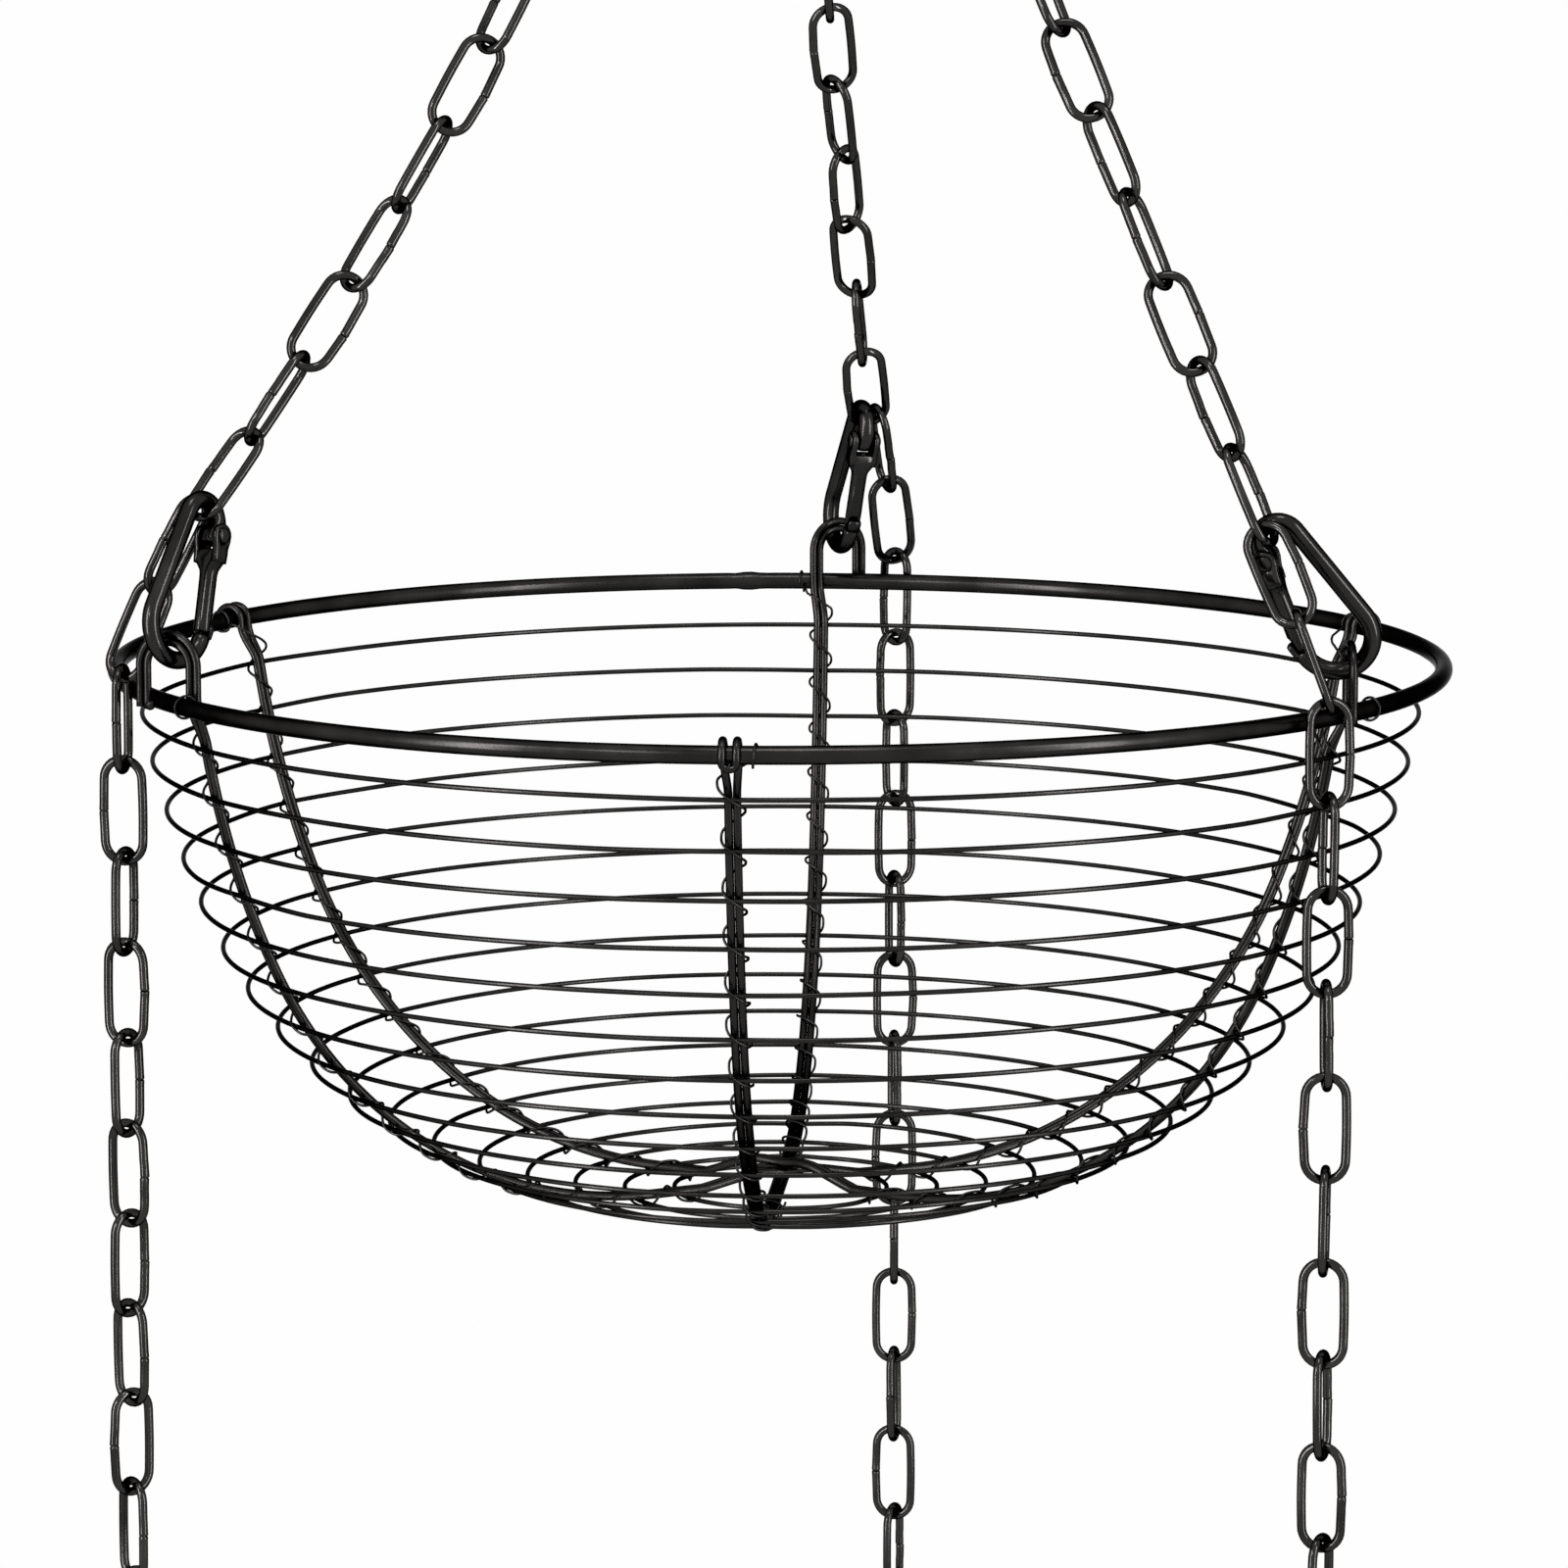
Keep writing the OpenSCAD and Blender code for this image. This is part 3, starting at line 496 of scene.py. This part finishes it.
binding_paint = black_paint("binding_paint", (0.022, 0.0212, 0.0208), 0.28, 0.5, 0.006)
for k, (rib, splayed) in enumerate(((0, True), (180, False), (-57, False), (118, True), (60, False), (-116, True))):
    path = rounded(binding_path(math.radians(rib), splayed, k), 2)
    name = str(k + 1)
    piece("binding_" + name, [sweep(path, BIND_R, 8)], "hanger", ["binding_wire_" + name], binding_paint)

# Chains
# Each link is 2 mm wire bent round with its ends butted in the middle of one side, where
# the bend leaves a slight corner. The links are painted a harder, shinier black.
LINK_WIRE_R = 1.0
LINK_BEND_R = 4.35
LINK_STRAIGHT = 6.8
SEAM_CORNER = 0.32
SEAM_GAP = 0.12


def islands(name):
    """The separate solids of a CAD node: for each, its points and its edges' ends, in millimetres."""
    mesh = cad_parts[name].data
    co = np.array([v.co for v in mesh.vertices]) / MM
    keys = {}
    same = [keys.setdefault(tuple(np.round(p, 4)), len(keys)) for p in co]
    group = list(range(len(keys)))

    def find(i):
        while group[i] != i:
            group[i] = group[group[i]]
            i = group[i]
        return i
    edges = [(same[a], same[b]) for a, b in (e.vertices for e in mesh.edges)]
    for a, b in edges:
        group[find(a)] = find(b)
    spots = np.array(list(keys))
    solids = {}
    for i in range(len(spots)):
        solids.setdefault(find(i), [[], []])[0].append(i)
    for a, b in edges:
        solids[find(a)][1].append((a, b))
    return [(spots[points], np.array([(spots[a], spots[b]) for a, b in lines])) for points, lines in solids.values()]


def links(name):
    """Middle, length direction and width direction of each link of a chain node, from the top down."""
    found = []
    for spots, lines in islands(name):
        span = lines[:, 1] - lines[:, 0]
        length = np.linalg.norm(span, axis=1)
        straight = length > 0.9 * length.max()
        along = span[straight][0] / length[straight][0]
        if along[2] > 0:
            along = -along
        middle = np.array([(spots @ v).max() + (spots @ v).min() for v in np.eye(3)]) / 2
        mids = lines[straight].mean(1) - middle
        mids -= np.outer(mids @ along, along)
        across = np.linalg.svd(mids)[2][0]
        reach = spots @ along
        middle += along * ((reach.max() + reach.min()) / 2 - middle @ along)
        found.append((middle, along, across))
    return sorted(found, key=lambda f: -f[0][2])


def link_shape(middle, along, across, seed):
    """One link: its side with the seam bows out to a slight corner, and its ends don't quite meet."""
    hand = random.Random(seed)
    corner = SEAM_CORNER * hand.uniform(0.4, 1.3)
    seam_z = hand.uniform(-0.8, 0.8)
    miss = hand.uniform(-0.08, 0.08)
    flip = hand.choice((-1, 1))
    path, thick = [], []
    side = [z for z in np.linspace(-LINK_STRAIGHT, LINK_STRAIGHT, 13) if abs(z - seam_z) > 0.7]
    near = [seam_z + d for d in (-0.6, -0.3, -SEAM_GAP, -SEAM_GAP * 0.5, 0, SEAM_GAP * 0.5, SEAM_GAP, 0.3, 0.6)]
    for z in sorted(side + near):
        bow = corner * (1 - abs(z - seam_z) / (LINK_STRAIGHT + abs(seam_z)))
        path.append((LINK_BEND_R + bow, miss * (1 if z > seam_z else -1) * (abs(z - seam_z) < 3), z))
        d = abs(z - seam_z)
        thick.append(LINK_WIRE_R - (0.2 if d < 0.02 else 0.15 if d < 0.1 else 0.03 if d < 0.2 else 0) + (0.03 if 0.2 < d < 0.7 else 0))
    for a in np.linspace(0, math.pi, 17)[1:-1]:
        path.append((LINK_BEND_R * math.cos(a), 0, LINK_STRAIGHT + LINK_BEND_R * math.sin(a)))
        thick.append(LINK_WIRE_R)
    for z in np.linspace(LINK_STRAIGHT, -LINK_STRAIGHT, 9):
        path.append((-LINK_BEND_R - 0.12 * math.cos(z / LINK_STRAIGHT * math.pi / 2), 0, z))
        thick.append(LINK_WIRE_R)
    for a in np.linspace(math.pi, 2 * math.pi, 17)[1:-1]:
        path.append((LINK_BEND_R * math.cos(a), 0, -LINK_STRAIGHT + LINK_BEND_R * math.sin(a)))
        thick.append(LINK_WIRE_R)
    path = np.array(path)
    normal = np.cross(along, across)
    path = middle + np.outer(path[:, 0] * flip, across) + np.outer(path[:, 1], normal) + np.outer(path[:, 2], along)
    return sweep(path, thick, 16, True)


chain_paint = black_paint("chain_paint", (0.034, 0.033, 0.032), 0.13, 2.6, 0.002)
SIDES = ("left", "right", "back")
for number, side in enumerate(SIDES):
    for node, name, body in (("upper_chain_", "chain_above_", "hanger"), ("lead_links_", "links_over_rim_", "leads_" + side),
                             ("lower_chain_", "chain_below_", "run_" + side)):
        shapes = [link_shape(*place, 100 * number + k + len(node)) for k, place in enumerate(links(node + side))]
        piece(name + side, shapes, body, [node + side], chain_paint)

# Top ring
# A ring of 4 mm wire, welded shut at its side, which gathers the three upper chains.
ring_low, ring_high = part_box("top_ring")
ring_middle = np.array((ring_low + ring_high) / 2) / MM
RING_WIRE_R = 2.0
RING_R = (ring_high.x - ring_low.x) / 2 / MM - RING_WIRE_R
ring_path, ring_thick = [], []
for turn in np.linspace(0, 2 * math.pi, 96, endpoint=False):
    ring_path.append(ring_middle + np.array([math.cos(turn), 0, math.sin(turn)]) * RING_R)
    past_weld = math.remainder(turn - 0.4, 2 * math.pi) * RING_R / 1.6
    ring_thick.append(RING_WIRE_R - 0.02 + 0.25 * math.exp(-past_weld ** 2))
piece("gathering_ring", [sweep(ring_path, ring_thick, 24, True)], "ring", ["top_ring"], chain_paint)

# Snap hooks
# A snap hook of 4 mm wire, forged flat where its narrow end is drilled. A sprung gate turns
# on a rivet there: its fork straddles the wire, and its tip meets a lip on the nose.
HOOK_REACH = 23.5
NARROW_R = 4.5
WIDE_R = 8.0
PIVOT_X = 2 * NARROW_R
PIVOT_Z = HOOK_REACH - 1.3
NOSE_Z = 1.2
LIP_Z = NOSE_Z + 3
GATE_TILT = math.atan((2 * WIDE_R - PIVOT_X) / (PIVOT_Z - NOSE_Z))
GATE_LONG = math.hypot(2 * WIDE_R - PIVOT_X - 2, PIVOT_Z - NOSE_Z) - 0.3
EAR_IN = 2.1
EAR_OUT = EAR_IN + 1.3
YOKE_START = 3.13


def hook_place(node):
    """Where a hook of the frame is: its origin, and its X towards the gate, Y and Z up its back, in millimetres."""
    spots, lines = islands(node)[0]
    span = lines[:, 1] - lines[:, 0]
    length = np.linalg.norm(span, axis=1)
    back = lines[length > 0.9 * length.max()]
    up = (back[0, 1] - back[0, 0]) / length.max()
    middle = back.reshape(-1, 3).mean(0)
    flat = (spots - middle) - np.outer((spots - middle) @ up, up)
    far = np.argmax(np.linalg.norm(flat, axis=1))
    if (spots[far] - middle) @ up > 0:
        up = -up
    towards = flat.mean(0) / np.linalg.norm(flat.mean(0))
    return middle - up * HOOK_REACH / 2, np.array([towards, np.cross(up, towards), up])


def placed(place, shapes):
    origin, axes = place
    return [(origin + points @ axes, faces) for points, faces in shapes]


def hook_wire():
    """The bent wire, from the lip of the nose round the wide end, up the back and round the narrow end."""
    flat_y = np.array([0, 1.0, 0])
    flat_x = np.array([1.0, 0, 0])
    rings = [oval((2 * WIDE_R + 1.05, 0, z), flat_x, flat_y, w, t, 2.6)
             for z, w, t in ((LIP_Z, 0.55, 1.1), (LIP_Z - 0.15, 0.8, 1.45), (LIP_Z - 0.7, 0.9, 1.65), (NOSE_Z + 0.15, 0.92, 1.72))]
    rings.append(oval((2 * WIDE_R, 0, NOSE_Z - 0.05), flat_x, flat_y, 1.7, 1.75))
    rings.append(oval((2 * WIDE_R, 0, NOSE_Z - 0.35), flat_x, flat_y, 1.95, 1.96))
    run = [(WIDE_R + WIDE_R * math.cos(a), WIDE_R * math.sin(a), a) for a in np.linspace(0, -math.pi, 33)]
    run += [(0, z, -math.pi) for z in np.linspace(1.5, HOOK_REACH - 1.5, 8)]
    run += [(NARROW_R + NARROW_R * math.cos(a), HOOK_REACH + NARROW_R * math.sin(a), a)
            for a in np.linspace(math.pi, 0, 21)]
    for x, z, a in run:
        forged = max(0, 1 - abs(z - HOOK_REACH) / 3) if x > NARROW_R and z > NARROW_R else 0
        rings.append(oval((x, 0, z), np.array([math.cos(a), 0, math.sin(a)]), flat_y,
                          1.96 + 0.25 * forged, 1.96, 2 + 0.9 * forged))
    for z, w in ((PIVOT_Z, 2.25), (PIVOT_Z - 1.1, 2.1), (PIVOT_Z - 1.8, 1.7), (PIVOT_Z - 2, 1.2)):
        rings.append(oval((PIVOT_X, 0, z), flat_x, flat_y, w, 1.96 * min(1, w / 1.7), 2.9))
    return [loft(rings)]


def gate():
    """The gate: two drilled ears, the yoke that joins them, and a round rod that is cut flat at the lip."""
    out = np.array([math.cos(GATE_TILT), 0, math.sin(GATE_TILT)])
    down = np.array([math.sin(GATE_TILT), 0, -math.cos(GATE_TILT)])
    flat_y = np.array([0, 1.0, 0])
    pivot = np.array([PIVOT_X, 0, PIVOT_Z])
    edge = [(2.6 * math.cos(a), -2.6 * math.sin(a)) for a in np.linspace(0, math.pi, 13)]
    edge += [(-2.5, 1.2), (-2.2, 2.4), (-2, 3.4), (-2, 4.8), (-1.9, 6), (-0.8, 6.1)]
    edge += [(0.8, 6.1), (1.9, 6), (2, 4.8), (2, 3.4), (2.2, 2.4), (2.5, 1.2)]
    edge = np.array(edge)
    hole = edge / np.linalg.norm(edge, axis=1)[:, None] * 1.07
    shapes = []
    for hand in (-1, 1):
        layers = []
        for outline, y, scale in ((hole, EAR_IN, 1), (edge, EAR_IN, 0.93), (edge, EAR_IN + 0.2, 1),
                                  (edge, EAR_OUT - 0.35, 1), (edge, EAR_OUT, 0.86), (hole, EAR_OUT, 1)):
            layers.append(pivot + np.outer(outline[:, 0] * scale, out) + np.outer(outline[:, 1] * scale, down)
                          + flat_y * y * hand)
        shapes.append(loft(layers, True))
    rings = []
    for z, w, t, square in ((YOKE_START + 4.3, 0.9, 0.9, 2), (YOKE_START, 0.9, 0.9, 2), (YOKE_START, 1.7, EAR_OUT - 0.3, 4),
                            (YOKE_START + 0.3, 2, EAR_OUT, 5), (5, 2, EAR_OUT, 5), (5.7, 2, EAR_OUT - 0.15, 4),
                            (6.6, 1.98, 2.7, 3), (7.6, 1.96, 2.1, 2.2), (8.6, 1.92, 1.95, 2), (13, 1.9, 1.9, 2),
                            (18, 1.92, 1.92, 2), (GATE_LONG - 0.5, 1.92, 1.92, 2), (GATE_LONG - 0.12, 1.75, 1.75, 2),
                            (GATE_LONG, 1.45, 1.45, 2)):
        rings.append(oval(pivot + down * z, out, flat_y, w, t, square))
    points, faces = loft(rings)
    low = points[:, 2] < LIP_Z + 0.25
    points[low, 0] = np.minimum(points[low, 0], 2 * WIDE_R - 0.22)
    return shapes + [(points, faces)]


def rivet():
    """A pin with a domed head on each side."""
    half = ((4.0, 0.85), (3.92, 1.3), (3.7, 1.62), (3.52, 1.7), (3.5, 1.0))
    profile = [(-y, r) for y, r in half] + [(y, r) for y, r in half[::-1]]
    return [loft([oval((PIVOT_X, y, PIVOT_Z), (1, 0, 0), (0, 0, 1), r, r) for y, r in profile])]


def gate_coil():
    """The spring in the gate, which pushes on the end of the wire."""
    down = np.array([math.sin(GATE_TILT), 0, -math.cos(GATE_TILT)])
    out = np.array([math.cos(GATE_TILT), 0, math.sin(GATE_TILT)])
    start = np.array([PIVOT_X, 0, PIVOT_Z]) + down * (YOKE_START + 0.16)
    path = [start + down * 3.78 * t + out * 0.54 * math.cos(t * 40) + np.array([0, 0.54, 0]) * math.sin(t * 40)
            for t in np.linspace(0, 1, 110)]
    return [sweep(path, 0.15, 8)]


hook_paint = black_paint("hook_paint", (0.026, 0.025, 0.0245), 0.20, 1.2, 0.004)
steel = Finish("spring_steel")
drawn = steel.noise(0.6, 3)
spring_steel = steel.shader(
    Base_Color=steel.node("ShaderNodeMix", {"data_type": "RGBA"}, {
        "Factor": drawn, "A": (0.32, 0.32, 0.33), "B": (0.58, 0.57, 0.56)}, 2),
    Metallic=1.0, Roughness=drawn * 0.25 + 0.25, Normal=steel.bump(drawn, 0.01))
heads = []
for side in SIDES:
    upper = hook_place("snap_hook_" + side)
    lower = hook_place("lower_hook_" + side)
    heads += placed(upper, rivet())
    piece("forged_hook_" + side, placed(upper, hook_wire()), "hanger", ["snap_hook_" + side], hook_paint)
    piece("sprung_gate_" + side, placed(upper, gate()), "gate_" + side, ["gate_" + side], hook_paint)
    piece("gate_coil_" + side, placed(upper, gate_coil()), "gate_" + side, ["gate_spring_" + side], spring_steel)
    piece("low_hook_" + side, placed(lower, hook_wire()), "lower_hook_" + side, ["lower_hook_" + side], hook_paint)
    piece("low_gate_" + side, placed(lower, gate()), "lower_gate_" + side, ["lower_gate_" + side], hook_paint)
    piece("low_rivet_" + side, placed(lower, rivet()), "lower_hook_" + side, ["lower_rivet_" + side], hook_paint)
    piece("low_coil_" + side, placed(lower, gate_coil()), "lower_gate_" + side, ["lower_spring_" + side],
          spring_steel)
piece("hook_rivets", heads, "hanger", ["gate_rivets"], hook_paint)

# Ceiling hook
# A zinc-plated screw hook: its wire is bent to a round hook under a flange, and its
# other end is a wood screw with a rolled thread.
CEILING_BEND_R = 10
COLLAR_H = 12.65
SCREW_L = 25
NECK_L = 2.5
CORE_R = 1.5
THREAD_OUT = 0.8
THREAD_PITCH = 1.8
TIP_L = 3
flat_x = np.array([1.0, 0, 0])
flat_y = np.array([0, 1.0, 0])


def screw():
    """The shank, the flange and the screw as one skin, with the thread as a ridge that climbs round the core."""
    sides = 48
    rings = [oval((0, 0, z), flat_x, flat_y, r, r, 2, sides) for z, r in (
        (-COLLAR_H - 2.5, 2.0), (-COLLAR_H - 1.9, 2.6), (-COLLAR_H - 1.2, 2.78), (-2, 2.78), (-1.55, 3),
        (-1.4, 3.4), (-1.38, 6.6), (-1.1, 6.93), (-0.3, 6.98), (0, 6.9), (0, CORE_R), (NECK_L, CORE_R))]
    turn = np.arange(sides) / sides
    for z in np.arange(NECK_L + 0.15, SCREW_L - TIP_L, 0.15):
        ends = min(1, (z - NECK_L) / 0.9, (SCREW_L - TIP_L - z) / 0.9)
        ridge = np.maximum(0, 1 - np.abs(((z - NECK_L) / THREAD_PITCH - turn) % 1 * 2 - 1) * 1.5) * THREAD_OUT * ends
        ring = oval((0, 0, 0), flat_x, flat_y, 1, 1, 2, sides) * (CORE_R + ridge)[:, None]
        rings.append(ring + np.array([0, 0, z]))
    rings += [oval((0, 0, SCREW_L - TIP_L * t), flat_x, flat_y, CORE_R * t, CORE_R * t, 2, sides) for t in (1, 0.6, 0.3, 0.06)]
    return loft(rings)


bend_z = -COLLAR_H - CEILING_BEND_R
bend_path = [(0, CEILING_BEND_R * math.cos(a), bend_z + CEILING_BEND_R * math.sin(a))
             for a in np.linspace(math.pi / 2, 2 * math.pi, 49)]
bend_path += [(0, CEILING_BEND_R, bend_z + h) for h in (1, 2, 2.4, 2.7, 2.9, 3)]
bend_thick = [2.0] * 51 + [1.95, 1.8, 1.5, 1.0]
zinc = Finish("zinc_plate")
streaks = zinc.noise(2.5, 3)
zinc_plate = zinc.shader(
    Base_Color=zinc.node("ShaderNodeMix", {"data_type": "RGBA"}, {
        "Factor": streaks, "A": (0.22, 0.23, 0.23), "B": (0.42, 0.42, 0.41)}, 2),
    Metallic=1.0, Roughness=streaks * 0.2 + 0.18, Normal=zinc.bump(streaks, 0.01))
piece("screw_hook", [screw(), sweep(bend_path, bend_thick, 24)], "root", ["ceiling_hook"], zinc_plate)

# Floor, backdrop and light
# The basket hangs free in front of white. A pale floor lies far below it.
FLOOR_Z = -1.25
floor_mesh = bpy.data.meshes.new("floor")
floor_mesh.from_pydata([(-30, -30, FLOOR_Z), (30, -30, FLOOR_Z), (30, 30, FLOOR_Z), (-30, 30, FLOOR_Z)], [], [(0, 1, 2, 3)])
floor = bpy.data.objects.new("floor", floor_mesh)
bpy.context.scene.collection.objects.link(floor)


def seen(made):
    """1 for what the camera sees, straight or in metal or glass."""
    path = [made.node("ShaderNodeLightPath", output=k) for k in (0, 3, 6)]
    return path[0] + path[1] + path[2]


pale = Finish("pale_floor")
matt = pale.node("ShaderNodeBsdfDiffuse", {}, {"Color": (0.85, 0.85, 0.85)})
white = pale.node("ShaderNodeEmission", {}, {"Color": (1, 1, 1), "Strength": 1.0})
both = pale.node("ShaderNodeMixShader", {}, {0: seen(pale) * 0.985, 1: matt, 2: white})
pale.tree.links.new(both.socket, pale.out.inputs["Surface"])
floor_mesh.materials.append(pale.material)

world = bpy.data.worlds.new("studio")
bpy.context.scene.world = world
world.use_nodes = True
sky = Finish.__new__(Finish)
sky.tree = world.node_tree
sky.tree.nodes.clear()
dim = sky.node("ShaderNodeBackground", {}, {"Color": (1, 1, 1), "Strength": 0.3})
bright = sky.node("ShaderNodeBackground", {}, {"Color": (1, 1, 1), "Strength": 1.0})
mixed = sky.node("ShaderNodeMixShader", {}, {0: seen(sky), 1: dim, 2: bright})
world_out = sky.tree.nodes.new("ShaderNodeOutputWorld")
sky.tree.links.new(mixed.socket, world_out.inputs["Surface"])

scene_middle = Vector((0, 0, -0.33))


def soft_box(name, turn, rise, distance, width, height, watts):
    """A soft box that faces the basket. Turn 0 is the viewer's side, and 90 is the right."""
    data = bpy.data.lights.new(name, "AREA")
    data.shape = "RECTANGLE"
    data.size, data.size_y, data.energy = width, height, watts
    lamp = bpy.data.objects.new(name, data)
    a, e = math.radians(turn), math.radians(rise)
    way = Vector((math.sin(a) * math.cos(e), -math.cos(a) * math.cos(e), math.sin(e)))
    lamp.location = scene_middle + way * distance
    lamp.rotation_euler = way.to_track_quat("Z", "Y").to_euler()
    bpy.context.scene.collection.objects.link(lamp)


soft_box("left_box", -48, 10, 2.2, 0.18, 2.2, 50)
soft_box("right_box", 56, 8, 2.2, 0.18, 2.2, 40)
soft_box("top_box", 10, 72, 1.9, 0.5, 0.5, 10)
soft_box("small_flash", -24, 26, 2.4, 0.14, 0.14, 7)

bpy.context.scene.view_settings.view_transform = "Standard"
